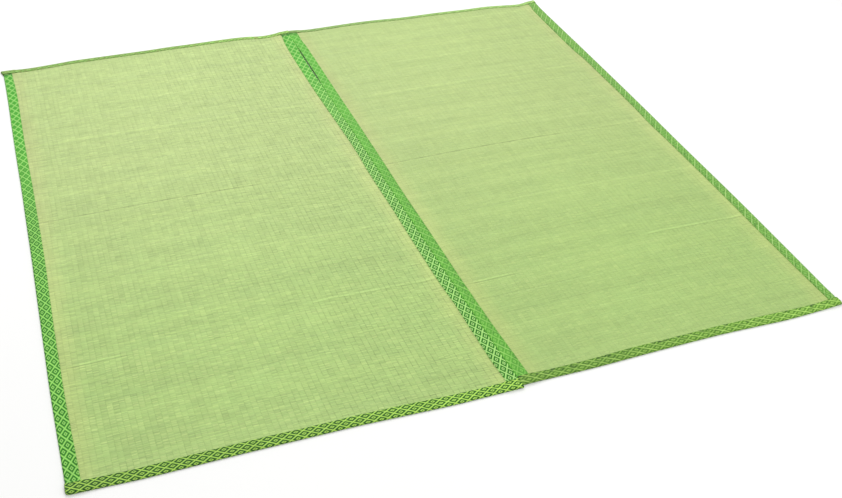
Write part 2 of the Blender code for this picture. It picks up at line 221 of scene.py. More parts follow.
class Nodes:
    """Short hand for a material's node tree."""

    def __init__(self, name):
        self.mat = bpy.data.materials.new(name)
        self.mat.use_nodes = True
        self.tree = self.mat.node_tree
        self.shader = self.tree.nodes["Principled BSDF"]

    def link(self, value, socket):
        if isinstance(value, bpy.types.NodeSocket):
            self.tree.links.new(value, socket)
        else:
            socket.default_value = value

    def new(self, kind, **settings):
        node = self.tree.nodes.new(kind)
        for key, value in settings.items():
            setattr(node, key, value)
        return node

    def math(self, op, a, b=0.0, c=None, clamp=False):
        node = self.new("ShaderNodeMath", operation=op, use_clamp=clamp)
        self.link(a, node.inputs[0])
        self.link(b, node.inputs[1])
        if c is not None:
            self.link(c, node.inputs[2])
        return node.outputs[0]

    def add(self, a, b):
        return self.math("ADD", a, b)

    def sub(self, a, b):
        return self.math("SUBTRACT", a, b)

    def mul(self, a, b):
        return self.math("MULTIPLY", a, b)

    def clamp(self, a):
        return self.math("ADD", a, 0.0, clamp=True)

    def step(self, a, lo, hi, out0=0.0, out1=1.0):
        node = self.new("ShaderNodeMapRange", interpolation_type="SMOOTHSTEP")
        for socket, value in zip(("Value", "From Min", "From Max", "To Min", "To Max"), (a, lo, hi, out0, out1)):
            self.link(value, node.inputs[socket])
        return node.outputs[0]

    def bump_at(self, a, centre, half):
        """1 at the centre, 0 at the half width and beyond."""
        away = self.math("ABSOLUTE", self.sub(a, centre))
        return self.step(away, 0.0, half, 1.0, 0.0)

    def attribute(self, name):
        return self.new("ShaderNodeAttribute", attribute_name=name, attribute_type="GEOMETRY")

    def split(self, vector):
        node = self.new("ShaderNodeSeparateXYZ")
        self.link(vector, node.inputs[0])
        return node.outputs

    def vector(self, x, y, z=0.0):
        node = self.new("ShaderNodeCombineXYZ")
        for value, socket in zip((x, y, z), node.inputs):
            self.link(value, socket)
        return node.outputs[0]

    def noise(self, vector, scale=1.0, detail=2.0, rough=0.5):
        node = self.new("ShaderNodeTexNoise", noise_dimensions="3D")
        self.link(vector, node.inputs["Vector"])
        node.inputs["Scale"].default_value = scale
        node.inputs["Detail"].default_value = detail
        node.inputs["Roughness"].default_value = rough
        return node.outputs["Fac"]

    def random(self, vector):
        node = self.new("ShaderNodeTexWhiteNoise", noise_dimensions="3D")
        self.link(vector, node.inputs["Vector"])
        return node.outputs["Value"]

    def mix(self, share, a, b, kind="MIX"):
        node = self.new("ShaderNodeMix", data_type="RGBA", blend_type=kind)
        self.link(share, node.inputs[0])
        self.link(a, node.inputs[6])
        self.link(b, node.inputs[7])
        return node.outputs[2]

    def scaled(self, colour, factor):
        """Colour times a number."""
        node = self.new("ShaderNodeVectorMath", operation="SCALE")
        self.link(colour, node.inputs[0])
        self.link(factor, node.inputs["Scale"])
        return node.outputs[0]

    def ramp(self, a, stops, interpolation="LINEAR"):
        node = self.new("ShaderNodeValToRGB")
        node.color_ramp.interpolation = interpolation
        elements = node.color_ramp.elements
        while len(elements) > 1:
            elements.remove(elements[-1])
        elements[0].position, elements[0].color = stops[0]
        for place, colour in stops[1:]:
            elements.new(place).color = colour
        self.link(a, node.inputs[0])
        return node.outputs[0]

    def bump(self, height, distance, strength=1.0):
        node = self.new("ShaderNodeBump")
        node.inputs["Strength"].default_value = strength
        node.inputs["Distance"].default_value = distance
        self.link(height, node.inputs["Height"])
        self.link(node.outputs[0], self.shader.inputs["Normal"])


COLUMN = 12.0    # from one warp column to the next
RUSH = 1.45      # from one rush to the next

# lines across the rush, painted highlights along ridges and painted shade in creases: place along, first and last
# distance across, half width, strength
RIDGE_HIGHLIGHTS = (
    (-489.0, 560.0, 868.0, 2.6, 0.9), (-467.0, 30.0, 400.0, 1.8, 0.35), (-530.0, 0.0, 150.0, 2.2, 0.8),
    (-246.0, 200.0, 860.0, 2.4, 0.35), (-115.0, 80.0, 640.0, 2.0, 0.4), (392.0, 120.0, 800.0, 3.0, 0.4),
    (574.0, 60.0, 860.0, 3.6, 0.4), (100.0, 300.0, 870.0, 2.4, 0.35), (812.0, 600.0, 850.0, 3.2, 0.5),
    (-704.0, 20.0, 560.0, 2.0, 0.4), (-600.0, 100.0, 860.0, 2.4, 0.4), (-372.0, 40.0, 520.0, 1.8, 0.3),
)
CREASE_SHADE = (
    (16.0, 0.0, 560.0, 1.6, 1.0), (13.0, 520.0, 880.0, 1.4, 0.5), (-494.5, 560.0, 870.0, 1.3, 0.6), (-535.5, 0.0, 160.0, 1.3, 0.7),
    (-596.0, 0.0, 300.0, 1.2, 0.35), (470.0, 0.0, 620.0, 1.5, 0.25), (-398.0, 200.0, 860.0, 1.3, 0.3),
    (-656.0, 40.0, 480.0, 1.2, 0.3), (188.0, 100.0, 870.0, 1.4, 0.25),
)


def rush_material(panel):
    n = Nodes("rush_" + panel)
    crisp = 1.0 if panel == "left" else 0.62
    a, b, c = n.split(n.attribute("weave").outputs["Vector"])   # across, along, in from a long edge
    columns = n.math("DIVIDE", a, COLUMN)
    column = n.math("FLOOR", columns)
    inside = n.math("FRACT", columns)
    parity = n.math("MODULO", column, 2.0)
    off = n.math("ABSOLUTE", n.sub(inside, 0.5))
    near = n.step(b, -650.0, 350.0, 1.0, 0.0)
    body = n.step(off, 0.36, 0.46, 1.0, 0.0)          # the middle of a column, clear of its grooves
    # shallow groove over each warp, which comes and goes
    warp = n.math("FLOOR", n.add(columns, 0.5))
    broken = n.noise(n.vector(n.mul(warp, 3.7), n.mul(b, 0.055), 8.0), detail=2.0)
    groove = n.mul(n.step(off, 0.37, 0.50), n.step(broken, 0.36, 0.64, 0.10, 1.0))
    # rushes, shifted half a pitch from one column to the next
    wobble = n.mul(n.sub(n.noise(n.vector(n.mul(a, 0.02), n.mul(b, 0.02), 3.0)), 0.5), 2.0)
    place = n.add(n.add(n.math("DIVIDE", b, RUSH), n.mul(parity, 0.5)), wobble)
    rush = n.math("FLOOR", place)
    in_rush = n.math("ABSOLUTE", n.sub(n.math("FRACT", place), 0.5))
    between = n.step(in_rush, 0.30, 0.5)
    per_rush = n.random(n.vector(rush, 0.0, 7.0))
    per_cell = n.random(n.vector(rush, column, 3.0))
    per_column = n.noise(n.vector(n.mul(column, 5.3), n.mul(b, 0.012), 17.0), detail=1.0)
    # flecks a column wide and a few rushes high, and threads that run on over a few columns
    fleck = n.noise(n.vector(n.mul(column, 7.31), n.mul(b, 0.30), 91.0), detail=2.0, rough=0.6)
    thread = n.noise(n.vector(n.mul(a, 0.024), n.mul(b, 0.32), 95.0), detail=2.0, rough=0.6)
    # cells, over one warp and under the next: staggered on the left, in rows towards the right
    drift = n.mul(n.noise(n.vector(n.mul(a, 0.010), n.mul(b, 0.010), 41.0)), 4.0)
    stagger = n.mul(parity, n.step(a, 300.0, 560.0, 0.5, 0.0))
    turn = n.add(n.add(n.math("DIVIDE", b, 10.0), stagger), drift)
    pick = n.random(n.vector(n.math("FLOOR", turn), column, 5.0))
    cell = n.mul(n.math("ABSOLUTE", n.sub(n.math("FRACT", turn), 0.5)), 2.0)
    basket = n.mul(n.mul(n.step(cell, 0.30, 0.62), body), n.step(pick, 0.15, 0.95, 0.15, 1.0))
    gap = n.step(cell, 0.74, 0.97)
    shown = n.noise(n.vector(n.mul(a, 0.007), n.mul(b, 0.013), 51.0), detail=2.0)
    left = n.step(a, 120.0, 560.0, 1.0, 0.30)
    shown = n.mul(n.step(shown, 0.34, 0.60), n.add(0.25, n.mul(n.mul(near, left), 0.75)))
    ruled = n.noise(n.vector(n.mul(a, 0.020), n.mul(b, 0.045), 57.0), detail=2.0)
    seamward = n.step(a, 260.0, 700.0, 0.0, 1.0)
    ruled = n.mul(n.step(ruled, 0.36, 0.60), n.add(0.35, n.mul(seamward, 0.65)))
    # in some rows every second column stands out lighter
    slow = n.noise(n.vector(n.mul(a, 0.004), n.mul(b, 0.05), n.mul(parity, 37.0)), detail=3.0, rough=0.7)
    fast = n.noise(n.vector(n.mul(a, 0.008), n.mul(b, 0.19), n.add(n.mul(parity, 19.0), 5.0)), detail=1.0)
    dashes = n.step(n.add(n.mul(slow, 0.45), n.mul(fast, 0.55)), 0.51, 0.63)
    dashes = n.mul(n.mul(dashes, body), n.add(0.30, n.mul(per_cell, 0.70)))
    dashes = n.mul(dashes, n.add(0.45, n.mul(near, 0.55)))
    # broad cloudiness, grain along the panel, and thin darker rows
    cloud = n.noise(n.vector(n.mul(a, 0.006), n.mul(b, 0.011), 0.0), detail=3.0)
    bands = n.noise(n.vector(n.mul(a, 0.0012), n.mul(b, 0.030), 11.0), detail=4.0, rough=0.65)
    grain = n.noise(n.vector(n.mul(a, 0.14), n.mul(b, 0.011), 61.0), detail=2.0)
    rows = n.noise(n.vector(n.mul(a, 0.005), n.mul(b, 0.30), 71.0), detail=2.0, rough=0.6)
    patch = n.noise(n.vector(n.mul(a, 0.012), n.mul(b, 0.014), 31.0), detail=3.0)
    # beside the long bindings the rush is yellower
    edge = n.step(n.add(c, n.mul(n.sub(cloud, 0.5), 40.0)), 26.0, 80.0, 1.0, 0.0)

    # paler towards the far end: painted sheen of the rush seen at a grazing angle
    green = n.mix(near, lin(180, 202, 128), lin(169, 199, 118))
    yellow = n.mix(near, lin(192, 202, 131), lin(184, 200, 120))
    blue = n.mix(near, lin(176, 203, 133), lin(163, 199, 122))
    pale = n.mix(near, lin(202, 214, 148), lin(198, 212, 136))
    base = n.mix(n.mul(n.step(patch, 0.42, 0.64), 0.12), green, blue)
    base = n.mix(n.clamp(n.add(n.mul(edge, 0.62), n.mul(n.sub(bands, 0.5), 0.5))), base, yellow)
    base = n.mix(n.clamp(n.mul(n.sub(fleck, 0.5), 1.5)), base, yellow)
    base = n.mix(n.mul(n.clamp(n.add(n.mul(dashes, 0.28), n.mul(n.mul(basket, shown), 0.30))), crisp), base, pale)
    value = n.mul(n.sub(per_rush, 0.5), 0.10)
    value = n.add(value, n.mul(n.sub(per_cell, 0.5), 0.10))
    value = n.add(value, n.mul(n.sub(per_column, 0.5), 0.18))
    value = n.add(value, n.mul(n.sub(fleck, 0.5), 0.56))
    value = n.add(value, n.mul(n.sub(thread, 0.5), 0.46))
    value = n.add(value, n.mul(n.mul(n.sub(grain, 0.5), n.sub(1.0, n.mul(near, 0.5))), 0.22))
    value = n.sub(value, n.mul(n.step(rows, 0.58, 0.70), 0.09))
    value = n.sub(value, n.mul(n.mul(n.sub(1.0, basket), shown), 0.06))
    # painted shade in the warp grooves, in the gaps between cells and between the rushes
    value = n.sub(value, n.mul(groove, n.add(0.10, n.mul(seamward, 0.15))))
    value = n.sub(value, n.mul(n.mul(gap, ruled), 0.17))
    value = n.sub(value, n.mul(between, 0.08))
    value = n.mul(value, crisp)
    value = n.add(value, n.mul(n.sub(cloud, 0.5), 0.02))
    value = n.add(value, n.mul(n.sub(bands, 0.5), 0.30))
    value = n.add(value, n.mul(n.bump_at(a, 440.0, 330.0), 0.025))
    value = n.sub(value, n.mul(n.mul(edge, n.sub(1.0, near)), 0.045))
    value = n.add(value, n.mul(n.mul(edge, n.bump_at(b, -200.0, 650.0)), 0.075))
    value = n.add(value, n.mul(n.mul(edge, n.step(a, 500.0, 700.0)), 0.035))
    value = n.add(value, 0.995 if panel == "left" else 0.955)
    broken = n.step(n.noise(n.vector(n.mul(a, 0.05), n.mul(b, 0.02), 23.0), detail=3.0), 0.36, 0.62, 0.40, 1.0)

    def line(rows):
        total = 0.0
        for at, first, last, half, strength in rows:
            where = n.bump_at(b, at, half * 1.9)
            span = n.mul(n.step(a, first - 25.0, first + 25.0), n.step(a, last - 25.0, last + 25.0, 1.0, 0.0))
            total = n.add(total, n.mul(n.mul(where, span), strength))
        return n.mul(total, broken)

    # painted highlights along the ridges and painted shade in the creases
    ridge_highlight, dark = line(RIDGE_HIGHLIGHTS), line(CREASE_SHADE)
    value = n.add(value, n.mul(ridge_highlight, 0.26))
    value = n.sub(value, n.mul(dark, 0.44))
    n.link(n.scaled(base, value), n.shader.inputs["Base Color"])
    n.link(n.step(per_rush, 0.0, 1.0, 0.50, 0.64), n.shader.inputs["Roughness"])
    n.shader.inputs["Specular IOR Level"].default_value = 0.30
    fibre = n.noise(n.vector(n.mul(a, 0.10), n.mul(b, 2.2), 2.0), detail=2.0)
    round_rush = n.math("COSINE", n.mul(in_rush, 3.1))
    height = n.add(n.mul(round_rush, 0.22), n.mul(fibre, 0.10))
    height = n.add(height, n.mul(dashes, 0.12))
    height = n.add(height, n.mul(fleck, 0.40))
    height = n.add(height, n.mul(thread, 0.40))
    height = n.add(height, n.mul(n.mul(basket, shown), 0.16))
    height = n.sub(height, n.mul(groove, 0.16))
    height = n.add(height, n.mul(ridge_highlight, 0.25))
    height = n.sub(height, n.mul(dark, 0.70))
    n.bump(height, 0.001, 0.8)
    return n.mat


def border_material(name, centre, phase, look, sharp=1.0, stain=None, size=1.0):
    """centre: in from the fold to a column of cell centres. phase: along to one cell centre.
    sharp: how crisp the woven figure is. stain: (colour, share) of a duller colour in dashes."""
    n = Nodes("border_" + name)
    # the cloth attribute's third component is the figure's contrast, low where painted sheen shows
    p, q, tone = n.split(n.attribute("cloth").outputs["Vector"])   # along, in from the fold, contrast
    # the hem attribute's third component is painted shading on the fold's outer face: painted shade below 1, painted
    # light above 1
    from_hem, gain, painted_fold_shading = n.split(n.attribute("hem").outputs["Vector"])   # fold: how light its outer face is
    wob = n.mul(n.sub(n.noise(n.vector(n.mul(p, 0.03), n.mul(q, 0.05), 1.0)), 0.5), 1.6)
    x = n.math("DIVIDE", n.add(n.sub(q, centre), wob), 9.75 * size)
    y = n.math("DIVIDE", n.add(n.sub(p, phase), wob), 15.6 * size)
    rings = []
    for op in ("ADD", "SUBTRACT"):
        turned = n.add(n.mul(n.math(op, x, y), 0.5), 0.5)
        rings.append(n.math("ABSOLUTE", n.sub(n.math("FRACT", turned), 0.5)))
    ring = n.mul(n.math("MAXIMUM", rings[0], rings[1]), 2.0)
    grain = n.noise(n.vector(n.mul(p, 0.7), n.mul(q, 0.7), 4.0), detail=2.0)
    ring = n.add(ring, n.mul(n.sub(grain, 0.5), 0.14))
    base, lattice, outline, dot, sheen_lattice, sheen_ground = (lin(*c) for c in look)
    cloud = n.noise(n.vector(n.mul(p, 0.020), n.mul(q, 0.06), 9.0), detail=3.0)
    if sharp > 0.5:
        charted = n.ramp(ring, (
            (0.00, dot), (0.13, dot), (0.21, lattice), (0.31, lattice), (0.38, base), (0.46, base),
            (0.52, outline), (0.67, outline), (0.73, base), (0.83, base), (0.90, lattice), (1.00, lattice),
        ))
    else:
        # blurred: dark mottles away from the fold and light lines that run one way
        soft = n.ramp(ring, ((0.00, base), (0.28, lattice), (0.44, base), (0.60, outline), (0.78, base), (1.00, lattice)))
        mottle = n.noise(n.vector(n.mul(p, 0.085), n.mul(q, 0.11), 14.0), detail=2.0)
        dark = n.mul(n.step(mottle, 0.46, 0.66), n.step(from_hem, 2.0, 19.0, 1.0, 0.25))
        run = n.step(n.mul(rings[0], 2.0), 0.66, 1.0)
        away = n.noise(n.vector(n.mul(p, 0.03), n.mul(q, 0.03), 15.0), detail=1.0)
        charted = n.mix(n.mul(dark, 0.75), n.mix(0.60, base, soft), outline)
        charted = n.mix(n.mul(run, n.step(away, 0.35, 0.65, 0.25, 0.85)), charted, lattice)
    # painted sheen: where the contrast is low the shiny figure thread is painted as catching the light, and the same
    # cloth reads as bright green with faint light lines
    painted_sheen_look = n.ramp(ring, (
        (0.00, sheen_lattice), (0.08, sheen_ground), (0.66, sheen_ground), (0.88, sheen_lattice), (1.0, sheen_lattice),
    ))
    colour = n.mix(tone, painted_sheen_look, charted)
    if stain is not None:
        worn = n.noise(n.vector(n.mul(p, 0.07), n.mul(q, 0.22), 33.0), detail=2.0)
        colour = n.mix(n.mul(n.step(worn, 0.48, 0.60), stain[1]), colour, lin(*stain[0]))
    threads = n.random(n.vector(n.math("FLOOR", n.mul(p, 1.1)), n.math("FLOOR", n.mul(q, 1.1)), 2.0))
    value = n.add(1.0, n.mul(n.sub(cloud, 0.5), 0.34))
    value = n.add(value, n.mul(n.sub(threads, 0.5), 0.18))
    # gain makes the strip lighter or darker along its length; on the side strips its dips near the far end are painted
    # shadow beside the far end binding's hem, and at the tucked ends it carries painted shade
    value = n.mul(value, gain)
    # painted shade on the fold's outer face and the underside, and painted light there where the factor is above 1
    value = n.mul(value, n.step(q, -0.5, 3.6, painted_fold_shading, 1.0))
    # stitch dents beside the inner edge, darkened as painted shade in the dents, and the turned edge itself
    stitch = n.mul(
        n.bump_at(from_hem, 2.9, 0.9),
        n.step(n.math("ABSOLUTE", n.sub(n.math("FRACT", n.math("DIVIDE", p, 7.0)), 0.5)), 0.28, 0.36, 1.0, 0.0),
    )
    value = n.sub(value, n.mul(stitch, 0.10))
    # painted shade on the turned inner edge of the hem
    value = n.mul(value, n.step(from_hem, -0.3, 0.7, 0.80, 1.0))
    n.link(n.scaled(colour, value), n.shader.inputs["Base Color"])
    n.shader.inputs["Roughness"].default_value = 0.62
    n.shader.inputs["Specular IOR Level"].default_value = 0.22
    n.shader.inputs["Sheen Weight"].default_value = 0.04
    warp = n.math("SINE", n.mul(p, 6.6))
    weft = n.math("SINE", n.mul(q, 6.6))
    height = n.add(n.mul(n.mul(warp, weft), 0.06), n.mul(n.step(ring, 0.80, 0.92), 0.10))
    height = n.sub(height, n.mul(stitch, 0.45))
    n.bump(height, 0.001, 0.7)
    return n.mat


# ------------------------------------------------------------------ meshes
def build(name, verts, quads, ngons, attributes, material, smooth_faces=True):
    """verts in millimetres; quads an array of four-sided faces; ngons a list of others."""
    verts = np.asarray(verts, float)
    verts = (verts + np.array([PLAN_SHIFT[0], PLAN_SHIFT[1], 0.0])) * MM
    mesh = bpy.data.meshes.new(name)
    quads = np.asarray(quads, np.int32).reshape(-1, 4)
    sizes = [4] * len(quads) + [len(f) for f in ngons]
    loops = np.concatenate([quads.reshape(-1)] + [np.array(f, np.int32) for f in ngons]).astype(np.int32)
    starts = np.concatenate([[0], np.cumsum(sizes)[:-1]]).astype(np.int32)
    mesh.vertices.add(len(verts))
    mesh.vertices.foreach_set("co", verts.astype(np.float32).reshape(-1))
    mesh.loops.add(len(loops))
    mesh.loops.foreach_set("vertex_index", loops)
    mesh.polygons.add(len(sizes))
    mesh.polygons.foreach_set("loop_start", starts)
    mesh.polygons.foreach_set("loop_total", np.array(sizes, np.int32))
    mesh.polygons.foreach_set("use_smooth", np.full(len(sizes), smooth_faces))
    mesh.update(calc_edges=True)
    mesh.validate(verbose=False)
    for attribute, values in attributes.items():
        layer = mesh.attributes.new(attribute, "FLOAT_VECTOR", "POINT")
        layer.data.foreach_set("vector", np.asarray(values, np.float32).reshape(-1))
    mesh.materials.append(material)
    obj = bpy.data.objects.new(name, mesh)
    bpy.context.scene.collection.objects.link(obj)
    return obj


def panel_place(panel, s, t):
    """(x, y) of a point at a share s across the rush sheet and t along it."""
    y = -800.0 + 1600.0 * t
    for _ in range(5):
        left = side_x(panel, "left", y) + RUSH_INSET
        right = side_x(panel, "right", y) - RUSH_INSET
        x = left + s * (right - left)
        near = end_y(panel, "near", x) + RUSH_INSET
        far = end_y(panel, "far", x) - RUSH_INSET
        y = near + t * (far - near)
    return x, y


def panel_height(panel, s, x, y, seed):
    """Underside of the rush sheet, and how thick it is."""
    d_side = np.minimum(x - side_x(panel, "left", y), side_x(panel, "right", y) - x)
    d_far = end_y(panel, "far", x) - y
    d_near = y - end_y(panel, "near", x)
    d_end = np.minimum(d_far, d_near)
    d = np.minimum(d_side, d_end)
    z = raised(d_side) + raised(d_end) + lift(panel, x, d_far)
    field = smooth(SLOPE_IN, 110.0, d)
    bow = along(RIDGES["y"], RIDGES["bow"], y)
    v = y - bow * across_bow(s)
    edge = np.minimum(1.0, 0.25 + 3.0 * np.minimum(s, 1.0 - s))
    for at, high, half in zip(RIDGES["y"], RIDGES["height"], RIDGES["half"]):
        off = (v - at - 6.0 * wander(s * 9.0, seed + at * 0.01)) / half
        hump = np.where(np.abs(off) < 1.0, 0.5 + 0.5 * np.cos(math.pi * np.clip(off, -1, 1)), 0.0)
        uneven = 0.80 + 0.35 * wander(s * 7.0, seed + at * 0.03)
        z = z + field * edge * high * hump * uneven
    for at, high, half, first, last in RIPPLES:
        off = (v - at - 5.0 * wander(s * 8.0, seed + at * 0.02)) / half
        hump = np.where(np.abs(off) < 1.0, 0.5 + 0.5 * np.cos(math.pi * np.clip(off, -1, 1)), 0.0)
        span = smooth(first - 0.08, first + 0.08, s) * (1.0 - smooth(last - 0.08, last + 0.08, s))
        z = z + field * high * hump * span * 0.8
    # the sharp crease beside the middle ridge
    off = np.abs(v - 16.0) / 7.0
    z = z - field * 0.45 * np.maximum(1.0 - off, 0.0)
    # lengthwise wrinkles near the right side
    for at, high, half, first, last in ((0.955, 0.5, 0.008, 120.0, 560.0), (0.925, 0.35, 0.007, 200.0, 480.0),
                                        (0.06, 0.35, 0.008, -420.0, -120.0)):
        off = (s - at - 0.006 * wander(y, seed + at, 90.0)) / half
        hump = np.where(np.abs(off) < 1.0, 0.5 + 0.5 * np.cos(math.pi * np.clip(off, -1, 1)), 0.0)
        z = z + field * high * hump * smooth(first - 60, first + 60, y) * (1.0 - smooth(last - 60, last + 60, y))
    thick = RUSH_PRESSED + (RUSH_THICK - RUSH_PRESSED) * smooth(FLAT_IN, SLOPE_IN, d)
    return np.maximum(z, raised(d_side) + raised(d_end) - 0.0), thick, v, d_side


def make_panel(panel):
    seed = 1.0 if panel == "left" else 4.3
    # fine top: lines across at each warp groove and between, lines along every 5.5 mm
    count = int(round(PANEL_WIDTH / COLUMN))
    share = [0.0]
    for k in range(count):
        for q in (0.0, 0.12, 0.5, 0.88):
            share.append((k + q) * COLUMN / PANEL_WIDTH)
    share = np.array(sorted(set(x for x in share if x < 0.9995)) + [1.0])
    rows = np.linspace(0.0, 1.0, 318)
    S, T = np.meshgrid(share, rows)
    x, y = panel_place(panel, S, T)
    z, thick, v, d_side = panel_height(panel, S, x, y, seed)
    inside = (S * PANEL_WIDTH / COLUMN) % 1.0
    groove = np.minimum(inside, 1.0 - inside) < 0.01
    cover = smooth(FLAT_IN - 4.0, FLAT_IN + 1.0, np.minimum(d_side, np.minimum(
        end_y(panel, "far", x) - y, y - end_y(panel, "near", x))))
    top = z + thick - 0.15 * groove * cover
    nx, ny = len(share), len(rows)
    verts = [np.stack([x, y, top], -1).reshape(-1, 3)]
    weave = [np.stack([S * PANEL_WIDTH, v, d_side], -1).reshape(-1, 3)]
    grid = np.arange(nx * ny).reshape(ny, nx)
    quads = [np.stack([grid[:-1, :-1], grid[:-1, 1:], grid[1:, 1:], grid[1:, :-1]], -1).reshape(-1, 4)]
    # coarser underside
    ci = np.unique(np.concatenate([np.arange(0, nx, 6), [nx - 1]]))
    cj = np.unique(np.concatenate([np.arange(0, ny, 5), [ny - 1]]))
    bx, by, bz = x[np.ix_(cj, ci)], y[np.ix_(cj, ci)], z[np.ix_(cj, ci)]
    start = nx * ny
    verts.append(np.stack([bx, by, bz], -1).reshape(-1, 3))
    weave.append(np.stack([(S * PANEL_WIDTH)[np.ix_(cj, ci)], v[np.ix_(cj, ci)], d_side[np.ix_(cj, ci)]], -1).reshape(-1, 3))
    low = start + np.arange(len(ci) * len(cj)).reshape(len(cj), len(ci))
    quads.append(np.stack([low[:-1, :-1], low[1:, :-1], low[1:, 1:], low[:-1, 1:]], -1).reshape(-1, 4))
    # walls: one many-sided face for each step of the coarse grid
    walls = []
    for k in range(len(ci) - 1):
        a, b = ci[k], ci[k + 1]
        walls.append([low[0, k], low[0, k + 1]] + [grid[0, i] for i in range(b, a - 1, -1)])
        walls.append([low[-1, k + 1], low[-1, k]] + [grid[-1, i] for i in range(a, b + 1)])
    for k in range(len(cj) - 1):
        a, b = cj[k], cj[k + 1]
        walls.append([low[k + 1, 0], low[k, 0]] + [grid[j, 0] for j in range(a, b + 1)])
        walls.append([low[k, -1], low[k + 1, -1]] + [grid[j, -1] for j in range(b, a - 1, -1)])
    return build("rush_panel_" + panel, np.concatenate(verts), np.concatenate(quads), walls,
                 {"weave": np.concatenate(weave)}, rush_material(panel))


def section(h, top, square=False):
    """(in from the fold, up, unfolded distance) round a strip of folded cloth: outside from the
    top's inner edge round the fold to the end of the return, then inside back. h and top are
    arrays, one entry for each place along the strip."""
    z = np.zeros_like(h)
    mid = 0.5 * h
    t = CLOTH
    outside = [
        (top + 0.05, h - 0.62), (top - 0.05, h - 0.22), (top - 0.6, h + 0.0), (top - 1.6, h + 0.03),
        (top - 2.9, h - 0.16), (top - 4.1, h + 0.02), (top * 0.72, h + 0.10), (top * 0.58, h + 0.14),
        (top * 0.44, h + 0.14), (top * 0.32, h + 0.10), (z + 5.0, h + 0.0), (z + 3.2, h - 0.16),
        (z + 1.8, h - 0.50), (z + 0.75, h - 1.05), (z + 0.2, h - 1.65), (z, mid), (z + 0.2, z + 1.5),
        (z + 0.75, z + 0.85), (z + 1.8, z + 0.28), (z + 3.2, z + 0.04), (z + 6.0, z), (z + 12.0, z),
        (z + 18.0, z), (z + 23.5, z), (z + 24.0, z + 0.3),
    ]
    inside = [
        (z + 24.0, z + 0.7), (z + 23.5, z + t), (z + 12.0, z + t), (z + 4.0, z + t), (z + 2.2, z + t + 0.05),
        (z + 1.4, z + t + 0.35), (z + 1.05, z + t + 0.8), (z + 1.0, mid), (z + 1.05, h - t - 0.8),
        (z + 1.4, h - t - 0.35), (z + 2.2, h - t - 0.1), (z + 4.0, h - t), (top * 0.45, h - t),
        (top - 4.2, h - t), (top - 0.6, h - t - 0.02), (top - 0.12, h - 0.92),
    ]
    if square:
        # the two folds at the seam are pressed together, so their upper corners are tighter
        outside[11:15] = [(z + 3.2, h - 0.02), (z + 1.8, h - 0.10), (z + 0.75, h - 0.40), (z + 0.2, h - 1.00)]
    # distance over the cloth, equal to the distance in from the fold on the top
    unfold = [None] * len(outside)
    unfold[10] = outside[10][0]
    for k in range(9, -1, -1):
        unfold[k] = outside[k][0]
    for k in range(11, len(outside)):
        step = np.hypot(outside[k][0] - outside[k - 1][0], outside[k][1] - outside[k - 1][1])
        unfold[k] = unfold[k - 1] - step
    inner = []
    for u, up in inside:
        best = min(range(len(outside)), key=lambda k: float(
            np.mean((outside[k][0] - u) ** 2) + np.mean((outside[k][1] - up) ** 2)))
        inner.append(unfold[best])
    return outside + inside, unfold + inner, len(outside)


def strip_faces(stations, n):
    grid = np.arange(stations * n).reshape(stations, n)
    nxt = np.roll(grid, -1, axis=1)
    return np.stack([grid[:-1], nxt[:-1], nxt[1:], grid[1:]], -1).reshape(-1, 4)


def cap(start, n_out, n, flip):
    """End face of a strip between its outside and its inside, as a band of quads and corners."""
    faces = []
    i, j = 0, n - 1
    n_in = n - n_out
    # walk the outside forward and the inside backward, by share of their lengths
    while i < n_out - 1 or j > n_out:
        share_i = (i + 1) / (n_out - 1)
        share_j = (n - 1 - (j - 1)) / (n_in - 1)
        if j <= n_out or (i < n_out - 1 and share_i <= share_j):
            faces.append([start + i, start + i + 1, start + j])
            i += 1
        else:
            faces.append([start + i, start + j - 1, start + j])
            j -= 1
    return [f[::-1] for f in faces] if flip else faces


def puff(p, u, top, seed, strength=1.0):
    """Slight unevenness of the top of a strip, puckered along the stitching."""
    body = np.clip(u / top, 0.0, 1.0)
    free = np.sin(math.pi * np.clip((u - 1.0) / (top - 2.0), 0.0, 1.0))
    z = 0.14 * wander(p, seed, 23.0) * free + 0.08 * wander(p, seed + 2.0, 6.1) * free
    return strength * (z + 0.05 * np.sin(p * 2.0 * math.pi / 7.0 + seed) * body * free)


def hem(name, place, under=None):
    wide = along(HEMS[name]["at"], HEMS[name]["wide"], place)
    if under is not None:
        wide = np.minimum(wide, 28.5 + 40.0 * smooth(SLOPE_IN, SLOPE_IN + 26.0, under))
    return wide


